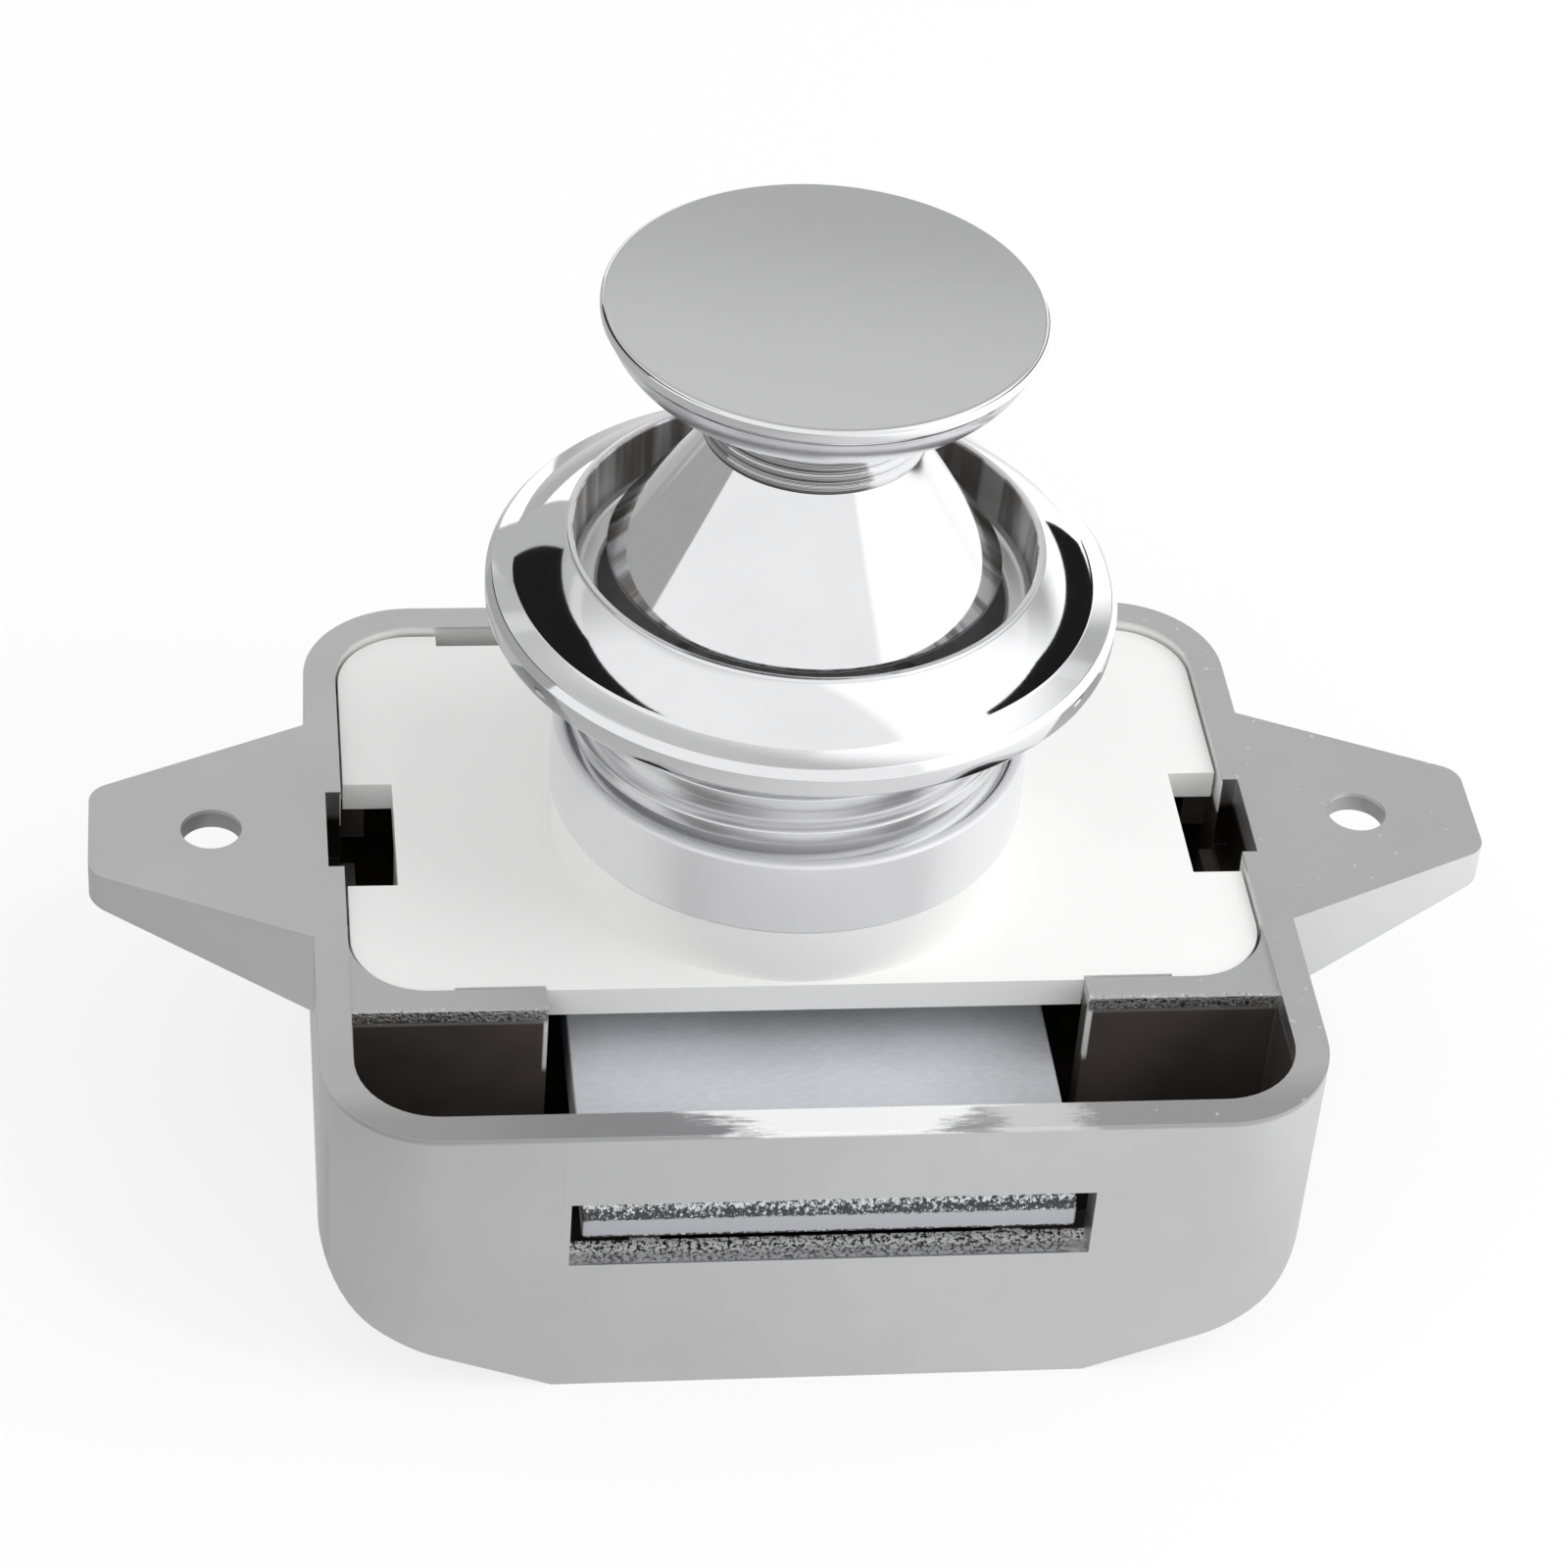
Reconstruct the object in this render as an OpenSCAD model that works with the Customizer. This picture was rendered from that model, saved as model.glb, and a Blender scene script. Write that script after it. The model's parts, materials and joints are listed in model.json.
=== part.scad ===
// Pushbutton cabinet lock: press the knob and the bolt slides out of the front slot,
// press again and both return.
// X runs along the screw ears, -Y is the side the bolt leaves by, Z is up along the knob.
// Sizes in millimetres.

/* [Case] */
// outside width of the case without the ears
case_w = 53; // [46:0.5:62]
// outside depth of the case, front to back
case_d = 44.5; // [40:0.5:52]
// height of the case from its base to the rim
case_h = 18; // [16:0.1:22]
// thickness of the side walls
wall = 1.8; // [1.4:0.1:2.4]
// thickness of the floor
floor_t = 1.4; // [1:0.1:2]
// corner radius of the case in plan
corner_r = 6.2; // [4:0.1:8]
// half width of the flat part of the base
base_half = 14.3; // [12:0.1:17]
// how steeply the base rises to the sides, degrees
base_slope = 21; // [14:1:28]
// rounding between the sloping base and the side walls
bilge_r = 4.5; // [2:0.1:6]

/* [Ears] */
// overall length across both screw ears
ear_span = 76.8; // [70:0.2:90]
// distance between the two screw holes
hole_pitch = 63.6; // [58:0.2:72]
// diameter of the screw holes
hole_d = 3.3; // [2.5:0.1:4.5]
// half width of an ear where it meets the case
ear_root = 9; // [6:0.1:11]
// half width of an ear at its tip
ear_tip = 3.5; // [2.5:0.1:5]
// depth of an ear's side webs at the case
ear_deep = 5.4; // [3:0.1:8]
// depth of an ear's side webs at the tip
ear_shallow = 1.9; // [1.5:0.1:3]
// thickness of the ear's top plate and webs
ear_t = 1.25; // [0.9:0.05:1.6]
// corner rounding at the tip of an ear
ear_r = 1.5; // [0.8:0.1:2.2]

/* [Bolt and its slot] */
// width of the bolt
bolt_w = 26; // [22:0.2:27]
// thickness of the bolt
bolt_t = 3; // [2.4:0.1:3.2]
// height of the bolt's underside
bolt_z = 9.85; // [9.4:0.05:10]
// how far the nose stands back from the front face at rest
nose_back = 1; // [0.6:0.1:2]
// height and depth of the bevel on the nose
nose_bevel = 1.6; // [0.8:0.1:2]
// side play of the bolt in the slot
slot_side = 0.7; // [0.3:0.05:1.2]
// play over the bolt in the slot
slot_over = 0.35; // [0.2:0.05:0.6]
// play under the bolt in the slot
slot_under = 1; // [0.4:0.05:1.4]

/* [Cover plate] */
// how far the plate lies under the rim
plate_sunk = 0.55; // [0.3:0.05:0.8]
// thickness of the plate
plate_t = 1.8; // [1.4:0.1:2]
// gap between plate and case
plate_gap = 0.15; // [0.1:0.05:0.5]
// distance from the front of the case to the front edge of the plate
plate_front = 11.9; // [11:0.1:14]
// length of the side notches
notch_l = 8.6; // [6:0.1:10]
// depth of the side notches
notch_deep = 2.7; // [1.5:0.1:3.2]
// distance of the two back notches from the middle
tab_x = 15.7; // [12:0.1:18]
// width of the back notches
tab_w = 6.2; // [4:0.1:8]
// depth of the back notches
tab_deep = 0.9; // [0.5:0.1:1.5]
// where the step in the front edge ends, from the middle
step_x = 19.2; // [17:0.1:21]
// depth of the step in the front edge
step_deep = 0.35; // [0.2:0.05:0.6]
// height of the collar over the plate
collar_h = 3.4; // [3:0.1:4.5]
// height of the plunger's guide over the web of the collar
guide_h = 3.2; // [2:0.1:4]
// wall of the plunger's guide
guide_wall = 1.7; // [1.2:0.1:2.2]
// thickness of the ribs that keep the bolt down
hold_t = 1; // [0.8:0.1:1.4]
// distance of these ribs from the plate's front edge
hold_y = 4.2; // [3.5:0.1:5]
// length of these ribs
hold_l = 4.2; // [3:0.1:5]

/* [Ribs and rails] */
// thickness of the two ribs behind the front pockets
rib_t = 1.7; // [1.2:0.1:2.2]
// half width of the opening between the ribs
rib_gap = 14.4; // [14:0.1:16]
// distance of the bolt's rails from the middle
rail_x = 8.8; // [8:0.1:9.5]
// thickness of the bolt's rails
rail_t = 1.6; // [1.2:0.1:2]

/* [Neck] */
// how far the neck stands to the left of the middle of the case
neck_left = 0.6; // [0:0.1:1.5]
// how far the neck and the ears stand behind the middle of the case
neck_back = 2.65; // [0:0.05:4]
// outside diameter of the chromed sleeve
sleeve_d = 25.8; // [25:0.1:28]
// height of the sleeve
sleeve_h = 4.7; // [3.5:0.1:6]
// wall of the sleeve over its thread
sleeve_wall = 0.7; // [0.5:0.05:0.9]

/* [Rosette] */
// outside diameter of the flange
flange_d = 33.5; // [30:0.1:38]
// thickness of the flange at its edge
flange_t = 1.1; // [0.8:0.1:1.6]
// gap between case rim and flange that takes the door panel
door_gap = 15.35; // [14:0.05:19]
// height of the rosette over the flange's underside
rosette_h = 4.25; // [3.5:0.05:6]
// rise of the domed top over a straight slope
dome_h = 0.14; // [0.04:0.02:0.6]
// gap round the knob's disc when it sinks into the bowl
bowl_gap = 0.78; // [0.4:0.02:1.2]
// width of the lip round the bowl
lip_t = 0.3; // [0.2:0.05:0.6]
// depth of the bowl
bowl_deep = 3.3; // [2:0.1:3.6]
// pitch of the thread
thread_pitch = 2.2; // [1.5:0.1:3]
// depth of the thread
thread_deep = 0.55; // [0.3:0.05:0.7]

/* [Knob] */
// diameter of the knob's disc
knob_d = 22.85; // [20:0.05:23.5]
// thickness of the disc at its edge
knob_edge = 0.8; // [0.6:0.1:1.4]
// how far the top of the pressed knob stands over the rosette
knob_proud = 0.85; // [0.2:0.05:2]
// height of the tapering underside of the disc
dish_h = 2.2; // [1.5:0.1:3]
// how far the underside draws in
dish_in = 1.6; // [0.8:0.1:2.5]
// bow of the underside over a straight taper
dish_bow = 0.2; // [0.05:0.05:0.4]
// diameter of the neck between disc and skirt
waist_d = 11.8; // [11:0.1:13]
// height of the neck
waist_h = 4.75; // [3:0.05:6]
// how far the top of the skirt stands in under the neck
waist_step = 0.6; // [0:0.05:0.9]
// gap between the foot of the skirt and the bore of the rosette
skirt_gap = 0.34; // [0.32:0.02:0.8]
// gap under the skirt when the knob is pressed
skirt_clear = 0.55; // [0.5:0.05:1.6]
// straight edge under the skirt
skirt_edge = 0.2; // [0.1:0.1:0.8]
// wall of the skirt, measured level
skirt_wall = 1.3; // [1:0.1:1.4]

/* [Mechanism] */
// bolt movement for each millimetre of knob movement
bolt_ratio = 0.5; // [0.3:0.01:0.5]
// outside diameter of the plunger
plunger_d = 9.2; // [8.6:0.1:10]
// diameter of the trunnions on the plunger
trunnion_d = 2.4; // [1.8:0.1:2.8]
// half the swing between the two lanes of the cam track
lane = 1; // [0.85:0.05:1.2]
// diameter of the follower wire
wire_d = 0.8; // [0.6:0.05:0.9]
// length of the follower wire's pivot
pivot_l = 4; // [3:0.1:5.5]
// distance of the follower wire behind the key
wire_back = 1.4; // [1:0.1:2]
// diameter of the knob's screw
screw_d = 3; // [2.5:0.1:3.4]
// diameter of the screw's head
head_d = 4.3; // [3.8:0.1:5]
// height of the screw's head
head_h = 1.7; // [1.2:0.1:2.2]
// number of coils of the return spring
coils = 13; // [9:1:15]
// wire thickness of the return spring
spring_wire = 0.7; // [0.5:0.05:0.8]
// running clearance of sliding and turning fits
fit = 0.05; // [0.03:0.01:0.08]

/* [Sub-part] */
// which sub-part to draw

/* [Hidden] */
$fn = 64;
half_w = case_w / 2;
half_d = case_d / 2;
in_w = half_w - wall;
in_d = half_d - wall;
nx = -neck_left;
ny = neck_back;
// bilge arc: tangent to the slope and just outside the wall
bilge_over = 0.15;
bilge_x = half_w + bilge_over - bilge_r;
bilge_z = (bilge_r + (bilge_x - base_half) * sin(base_slope)) / cos(base_slope);
// inside faces of the sloping base
in_half = base_half - floor_t * tan(base_slope / 2);
in_rise = floor_t + (in_w - in_half) * tan(base_slope);
// ear outline
ear_x = ear_span / 2;
ear_a = atan((ear_root - ear_tip) / (ear_x - half_w));
ear_cx = ear_x - ear_r;
ear_cy = ear_root - (ear_cx - half_w) * tan(ear_a) - ear_r / cos(ear_a);
// bolt and slot
bolt_top = bolt_z + bolt_t;
slot_half = bolt_w / 2 + slot_side;
nose_y = -half_d + nose_back;
// plate
plate_top = case_h - plate_sunk;
plate_low = plate_top - plate_t;
plate_x = in_w - plate_gap;
plate_y0 = -half_d + plate_front;
plate_y1 = in_d - plate_gap;
plate_r = corner_r - wall - plate_gap;
notch_y0 = ny - notch_l / 2;
rib_y = plate_y0 - plate_gap - rib_t;
// neck
collar_r = sleeve_d / 2 - 0.1;
collar_top = plate_top + collar_h;
collar_wall = 1.2;
sleeve_bore = sleeve_d / 2 - sleeve_wall;
thread_r = sleeve_bore - fit - 0.03;
web_t = 1.85;
web_z = collar_top - 0.45;
web_top = web_z + web_t;
// trunnions and cheeks, which set how far the knob can be pressed
clear = 0.3;
pin_r = trunnion_d / 2;
cheek_r = pin_r + fit + 1;
over_run = 0.15;
travel = web_z - floor_t - 2 * (clear + cheek_r + over_run);
pin_z = floor_t + clear + cheek_r + over_run + travel;
shift = travel * bolt_ratio;
lean = atan(bolt_ratio);
slot_len = travel / cos(lean);
// rosette
flange_z = case_h + door_gap;
lip_z = flange_z + rosette_h;
rosette_low = web_top + 0.7;
bore_r = thread_r - thread_deep - 0.8;
bowl_r = knob_d / 2 + bowl_gap;
// knob
knob_top = lip_z + knob_proud + travel;
edge_z = knob_top - knob_edge;
waist_z = edge_z - dish_h;
skirt_z = waist_z - waist_h;
knob_low = web_top + skirt_clear + travel;
foot_z = knob_low + skirt_edge;
skirt_r = bore_r - skirt_gap;
// plunger
plunger_r = plunger_d / 2;
spring_bore = plunger_r - 1.1;
crown_z = skirt_z - 3.3;
crown_top = skirt_z - 1.1;
plunger_low = floor_t + 0.4 + travel;
screw_top = skirt_z + 4.35;
cheek_in = plunger_r + 0.35;
cheek_out = cheek_in + 1.3;
// key and cam track
key_half = 2.7;
key_back = plunger_r + 2.3;
tip_z = pin_z - 0.2;
key_top = tip_z + travel + 2.2;
track_deep = 1.3;
// follower wire
wire_r = wire_d / 2;
wire_y = ny + key_back + wire_back;
pivot_z = floor_t + 3.2;
// spring
spring_r = spring_bore - 0.2 - spring_wire / 2;
spring_z0 = floor_t + 0.02;
spring_z1 = crown_z - 0.02;

module rounded(w, d, r) {
  square([w, d - 2 * r], center = true);
  square([w - 2 * r, d], center = true);
  for (x = [-1, 1]) {
    for (y = [-1, 1]) {
      translate([x * (w / 2 - r), y * (d / 2 - r)]) circle(r);
    }
  }
}

module pick(x0, x1, y0, y1, z0, z1) {
  translate([x0, y0, z0]) cube([x1 - x0, y1 - y0, z1 - z0]);
}

// both sides of the case, mirrored left and right
module sides() {
  children();
  mirror([1, 0, 0]) children();
}

// front view of the outside: flat base, slopes, bilge arcs
module front_outline() {
  tx = bilge_x + bilge_r * sin(base_slope);
  tz = bilge_z - bilge_r * cos(base_slope);
  sx = half_w + bilge_over;
  polygon([[-base_half, 0], [base_half, 0], [tx, tz], [sx, bilge_z], [sx, case_h + 1],
    [-sx, case_h + 1], [-sx, bilge_z], [-tx, tz]]);
  for (s = [-1, 1]) {
    translate([s * bilge_x, bilge_z]) circle(bilge_r);
  }
}

// front view of the inside
module front_inside() {
  polygon([[-in_half, floor_t], [in_half, floor_t], [in_w + 1, in_rise + tan(base_slope)],
    [in_w + 1, case_h + 2], [-in_w - 1, case_h + 2], [-in_w - 1, in_rise + tan(base_slope)]]);
}

module case_shell() {
  difference() {
    intersection() {
      linear_extrude(case_h) rounded(case_w, case_d, corner_r);
      rotate([90, 0, 0]) linear_extrude(case_d + 2, center = true) front_outline();
    }
    intersection() {
      translate([0, 0, floor_t / 2]) linear_extrude(case_h) rounded(2 * in_w, 2 * in_d, corner_r - wall);
      rotate([90, 0, 0]) linear_extrude(case_d, center = true) front_inside();
    }
  }
}

// plan of one ear, seen from above, rounded at the tip
module ear_plan(inset) {
  tx = ear_cx + ear_r * sin(ear_a);
  ty = ear_cy + ear_r * cos(ear_a);
  x0 = half_w - 0.8;
  y0 = ear_root + 0.8 * tan(ear_a);
  if (inset == 0) {
    polygon([[x0, -y0], [tx, -ty], [ear_x, -ear_cy], [ear_x, ear_cy], [tx, ty], [x0, y0]]);
    for (s = [-1, 1]) {
      translate([ear_cx, s * ear_cy]) circle(ear_r);
    }
  } else {
    yi = inset / cos(ear_a);
    xe = ear_x - inset;
    ye = ear_root - (xe - half_w) * tan(ear_a) - yi;
    polygon([[half_w, yi - ear_root], [xe, -ye], [xe, ye], [half_w, ear_root - yi]]);
  }
}

// ear: thin top plate with tapering webs round its edge
module ear() {
  translate([0, ny, 0]) {
    difference() {
      intersection() {
        translate([0, 0, case_h - ear_deep]) linear_extrude(ear_deep) ear_plan(0);
        rotate([90, 0, 0]) linear_extrude(3 * ear_root, center = true)
          polygon([[half_w - 1, case_h - ear_deep], [half_w, case_h - ear_deep],
            [ear_x + 1, case_h - ear_shallow], [ear_x + 1, case_h + 1], [half_w - 1, case_h + 1]]);
      }
      translate([0, 0, case_h - ear_deep - 1]) linear_extrude(ear_deep + 1 - ear_t) ear_plan(ear_t);
      translate([hole_pitch / 2, 0, case_h - ear_deep - 1]) cylinder(h = ear_deep + 2, d = hole_d);
    }
  }
}

// rib behind a front pocket, with the filled corner under the plate's rounded corner
module rib() {
  y1 = rib_y + rib_t;
  top = case_h - 0.3;
  foot = floor_t / 2 + (in_w + 0.5 - base_half) * tan(base_slope);
  translate([0, y1, 0]) rotate([90, 0, 0]) linear_extrude(rib_t)
    polygon([[rib_gap, floor_t / 2 + max(0, rib_gap - base_half) * tan(base_slope)], [in_w + 0.5, foot],
      [in_w + 0.5, top], [rib_gap, top]]);
  translate([0, 0, plate_low - 2]) linear_extrude(top - plate_low + 2) difference() {
    translate([in_w - plate_r, y1 - 0.2]) square([plate_r + 0.5, plate_r + 0.2]);
    translate([in_w - plate_r, y1 + plate_r]) circle(plate_r);
    translate([in_w - 2 * plate_r, y1]) square([plate_r, plate_r]);
  }
}

module latch_case_inside() {
  sides() rib();
  // ledges that carry the plate
  sides() pick(in_w - 1.4, in_w + 0.5, rib_y + 1, notch_y0 - 1.2, plate_low - 3, plate_low);
  sides() pick(in_w - 1.4, in_w + 0.5, notch_y0 + notch_l + 1.2, in_d - 3, plate_low - 3, plate_low);
  // catches for the plate's hooks
  sides() pick(in_w - 0.8, in_w + 0.5, ny - 2.8, ny + 2.8, plate_low - 4.4, plate_low - 2.6);
  // rails under the bolt's arms
  sides() pick(rail_x, rail_x + rail_t, -in_d - 0.5, ny + 8, floor_t / 2, bolt_z - 0.15);
}

module case() {
  color([0.74, 0.74, 0.75]) difference() {
    union() {
      case_shell();
      sides() ear();
      latch_case_inside();
      // post inside the return spring
      translate([nx, ny, floor_t / 2]) cylinder(h = 4.2, r = spring_r - spring_wire / 2 - 0.35);
      // boss for the follower wire
      pick(nx - lane - 1.7, nx - lane + 1.7, wire_y + 1.2, wire_y + pivot_l + 1, floor_t / 2, pivot_z + 1.5);
    }
    // bolt slot
    pick(-slot_half, slot_half, -half_d - 1, -in_d + 0.6, bolt_z - slot_under, bolt_top + slot_over);
    // recesses in the rim beside the notches
    sides() pick(in_w - 0.5, in_w + 0.85, ny - 3.3, ny + 3, plate_low - 2.4, case_h + 1);
    // hole for the follower wire
    translate([nx - lane, wire_y, pivot_z]) rotate([-90, 0, 0]) cylinder(h = pivot_l + 0.2, r = wire_r + fit);
  }
}

module plate_plan() {
  difference() {
    translate([0, (plate_y0 + plate_y1) / 2]) rounded(2 * plate_x, plate_y1 - plate_y0, plate_r);
    for (s = [-1, 1]) {
      translate([s * plate_x, notch_y0 + notch_l / 2]) square([2 * notch_deep, notch_l], center = true);
      translate([s * tab_x, plate_y1]) square([tab_w, 2 * tab_deep], center = true);
      translate([s * (rib_gap + step_x) / 2, plate_y0])
        square([step_x - rib_gap, 2 * step_deep], center = true);
    }
  }
}

module cover_plate() {
  bore = sleeve_d / 2 - collar_wall;
  leg_x = plate_x - notch_deep;
  color([0.94, 0.94, 0.93]) {
    difference() {
      union() {
        translate([0, 0, plate_low]) linear_extrude(plate_t) plate_plan();
        translate([nx, ny, 0]) {
          translate([0, 0, plate_low]) cylinder(h = collar_top - plate_low, r = collar_r);
          translate([0, 0, web_z]) cylinder(h = web_top - web_z, r = sleeve_bore - fit);
          translate([0, 0, web_z]) cylinder(h = web_t + guide_h, r = plunger_r + guide_wall);
        }
        // ribs that keep the bolt down
        sides() pick(bolt_w / 2 - 0.2 - hold_t, bolt_w / 2 - 0.2, plate_y0 + hold_y,
          plate_y0 + hold_y + hold_l, bolt_top + 0.15, plate_low + 0.5);
        // hooked legs
        sides() pick(leg_x - 1.3, leg_x - 0.1, ny - 2.6, ny + 2.6, plate_low - 5.6, plate_low + 0.5);
        sides() pick(leg_x - 0.2, in_w - 0.2, ny - 2.6, ny + 2.6, plate_low - 5.6, plate_low - 4.6);
      }
      translate([nx, ny, 0]) {
        translate([0, 0, plate_low - 1]) cylinder(h = web_z - plate_low + 1, r = bore);
        translate([0, 0, web_z - 1]) cylinder(h = web_t + guide_h + 2, r = plunger_r + fit);
        // keyway
        pick(-key_half - fit, key_half + fit, 0, key_back + 0.1, web_z - 1, web_top + guide_h + 2);
      }
    }
  }
}

module neck_sleeve() {
  color([0.86, 0.86, 0.87]) translate([nx, ny, collar_top]) difference() {
    cylinder(h = sleeve_h, d = sleeve_d);
    translate([0, 0, -1]) cylinder(h = sleeve_h + 2, r = sleeve_bore);
  }
}

// section of the rosette: flange, domed top, lip, bowl, bore and threaded collar
module rosette_section() {
  fr = flange_d / 2;
  land = [fr - 1.35, flange_z + flange_t + 0.9];
  slope = [bowl_r + lip_t, lip_z] - land;
  outward = [slope.y, -slope.x] / norm(slope);
  dome = [for (t = [0 : 0.125 : 1]) land + t * slope + 4 * dome_h * t * (1 - t) * outward];
  n = floor((flange_z - 0.6 - rosette_low) / thread_pitch);
  root = thread_r - thread_deep;
  crests = [for (i = [0 : n - 1]) each [
    [root, rosette_low + i * thread_pitch + 0.15 * thread_pitch],
    [root, rosette_low + i * thread_pitch + 0.35 * thread_pitch],
    [thread_r, rosette_low + i * thread_pitch + 0.6 * thread_pitch],
    [thread_r, rosette_low + i * thread_pitch + 0.9 * thread_pitch]]];
  polygon(concat([[bore_r, rosette_low], [root, rosette_low]], crests,
    [[root, rosette_low + (n + 0.15) * thread_pitch], [root, flange_z], [fr, flange_z],
    [fr, flange_z + flange_t], [fr - 0.32, flange_z + flange_t + 0.4]], dome,
    [[bowl_r, lip_z], [bowl_r - 0.1, lip_z - bowl_deep], [bore_r, lip_z - bowl_deep]]));
}

module rosette() {
  color([0.86, 0.86, 0.87]) translate([nx, ny, 0]) rotate_extrude() rosette_section();
}

// section of the knob: disc, tapering underside, neck, groove, hollow skirt and the socket for the plunger
module knob_section() {
  kr = knob_d / 2;
  wr = waist_d / 2;
  socket = plunger_r + fit;
  tr = max(wr - waist_step, socket + 0.5);
  tz = skirt_z - 0.2;
  taper = (skirt_r - tr) / (tz - foot_z);
  inner = tr + (tz - crown_z) * taper - skirt_wall;
  hole = screw_d / 2 + fit;
  under = [kr - dish_in, waist_z];
  slope = [kr - 0.25, edge_z] - under;
  outward = [slope.y, -slope.x] / norm(slope);
  bow = [for (t = [0 : 0.125 : 1]) under + t * slope + 4 * dish_bow * t * (1 - t) * outward];
  polygon(concat([[hole, crown_top], [socket, crown_top], [socket, crown_z], [inner, crown_z],
    [skirt_r - skirt_wall, foot_z], [skirt_r - skirt_wall, knob_low], [skirt_r, knob_low], [skirt_r, foot_z],
    [tr, tz], [wr, skirt_z], [wr, waist_z - 0.5], [wr + 0.5, waist_z]], bow,
    [[kr, edge_z + 0.3], [kr, knob_top - 0.3], [kr - 0.3, knob_top], [0, knob_top], [0, screw_top + 0.3],
    [hole, screw_top + 0.3]]));
}

module push_knob() {
  color([0.86, 0.86, 0.87]) translate([nx, ny, 0]) rotate_extrude() knob_section();
}

// cam track in the back of the key, seen from behind: two lanes round a heart-shaped island
module cam_track() {
  z0 = tip_z - wire_r - 0.5;
  z1 = tip_z + travel + wire_r + 0.5;
  difference() {
    translate([-lane - wire_r - 0.25, z0]) square([2 * lane + 2 * wire_r + 0.5, z1 - z0]);
    polygon([[0, tip_z + 2.6], [0.35, tip_z + 3.6], [0.35, z1 - 2.7], [0, z1 - 3.2], [-0.35, z1 - 2.7],
      [-0.35, tip_z + 3.6]]);
  }
}

module plunger() {
  color([0.9, 0.9, 0.88]) translate([nx, ny, 0]) difference() {
    union() {
      translate([0, 0, plunger_low]) cylinder(h = crown_top - plunger_low - 0.02, r = plunger_r);
      pick(-key_half, key_half, spring_bore - 0.5, key_back, plunger_low, key_top);
      translate([-cheek_out + 0.1, 0, pin_z]) rotate([0, 90, 0]) cylinder(h = 2 * cheek_out - 0.2, r = pin_r);
    }
    translate([0, 0, plunger_low - 1]) cylinder(h = crown_z - plunger_low + 1, r = spring_bore);
    cylinder(h = crown_top + 1, r = screw_d / 2 + 0.1);
    translate([0, key_back + 0.5, 0]) rotate([90, 0, 0]) linear_extrude(track_deep + 0.5) cam_track();
  }
}

module knob_screw() {
  color([0.7, 0.7, 0.68]) translate([nx, ny, 0]) difference() {
    union() {
      translate([0, 0, crown_z - head_h]) cylinder(h = head_h - 0.02, d = head_d);
      translate([0, 0, crown_z - 0.5]) cylinder(h = screw_top - crown_z + 0.5, d = screw_d);
    }
    // cross recess in the head
    for (turn = [0, 90]) {
      translate([0, 0, crown_z - head_h]) rotate(turn)
        cube([0.56 * head_d, 0.14 * head_d, head_h], center = true);
    }
  }
}

// level section through one coil: an arc tapering to both ends, twisted up into the spring
module coil_section() {
  rise = (spring_z1 - spring_z0) / coils;
  reach = 180 * spring_wire / rise;
  half = spring_wire / 2;
  steps = [-1 : 0.25 : 1];
  outer = [for (u = steps) [(spring_r + half * sqrt(1 - u * u)) * cos(u * reach),
    (spring_r + half * sqrt(1 - u * u)) * sin(u * reach)]];
  inner = [for (u = [0.75 : -0.25 : -0.75]) [(spring_r - half * sqrt(1 - u * u)) * cos(u * reach),
    (spring_r - half * sqrt(1 - u * u)) * sin(u * reach)]];
  polygon(concat(outer, inner));
}

module return_spring() {
  color([0.6, 0.6, 0.62]) translate([nx, ny, spring_z0])
    linear_extrude(spring_z1 - spring_z0, twist = -360 * coils, slices = 12 * coils, segments = 0, $fn = 8)
      coil_section();
}

// side view of the drive slot, pin at its top end at rest
module slot_side_view(r, extra) {
  translate([0, pin_z]) rotate(lean) {
    translate([0, extra]) circle(r);
    translate([0, -slot_len - extra]) circle(r);
    translate([-r, -slot_len - extra]) square([2 * r, slot_len + 2 * extra]);
  }
}

module cheek() {
  translate([cheek_in, 0, 0]) rotate([90, 0, 90]) linear_extrude(cheek_out - cheek_in)
    slot_side_view(cheek_r, over_run);
}

module latch_bolt() {
  back = ny + shift / 2 + 5.6;
  color([0.68, 0.68, 0.69]) difference() {
    union() {
      rotate([90, 0, 90]) translate([0, 0, -bolt_w / 2]) linear_extrude(bolt_w)
        polygon([[nose_y, bolt_z], [back, bolt_z], [back, bolt_top], [nose_y + nose_bevel, bolt_top],
          [nose_y, bolt_top - nose_bevel]]);
      translate([nx, ny, 0]) sides() cheek();
    }
    // way for the plunger, open to the back
    pick(nx - cheek_in, nx + cheek_in, ny - plunger_r + 0.5, back + 1, bolt_z - 1, bolt_top + 1);
    // drive slots
    translate([nx - cheek_out - 1, ny, 0]) rotate([90, 0, 90]) linear_extrude(2 * cheek_out + 2)
      slot_side_view(pin_r + fit, over_run);
  }
}

module detent_wire() {
  color([0.55, 0.55, 0.57]) translate([nx - lane, 0, 0]) {
    translate([0, wire_y, pivot_z]) rotate([-90, 0, 0]) cylinder(h = pivot_l, r = wire_r);
    translate([0, wire_y, pivot_z]) sphere(wire_r);
    translate([0, wire_y, pivot_z]) cylinder(h = tip_z - pivot_z, r = wire_r);
    translate([0, wire_y, tip_z]) sphere(wire_r);
    translate([0, ny + key_back - track_deep + 0.25, tip_z]) rotate([-90, 0, 0])
      cylinder(h = wire_back + track_deep - 0.25, r = wire_r);
  }
}

case();
cover_plate();
neck_sleeve();
rosette();
push_knob();
plunger();
knob_screw();
return_spring();
latch_bolt();
detent_wire();
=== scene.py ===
"""Pushbutton cabinet lock: dressed pieces, studio and camera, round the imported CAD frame."""
import json
import math

import bpy
from mathutils import Matrix, Vector


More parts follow.
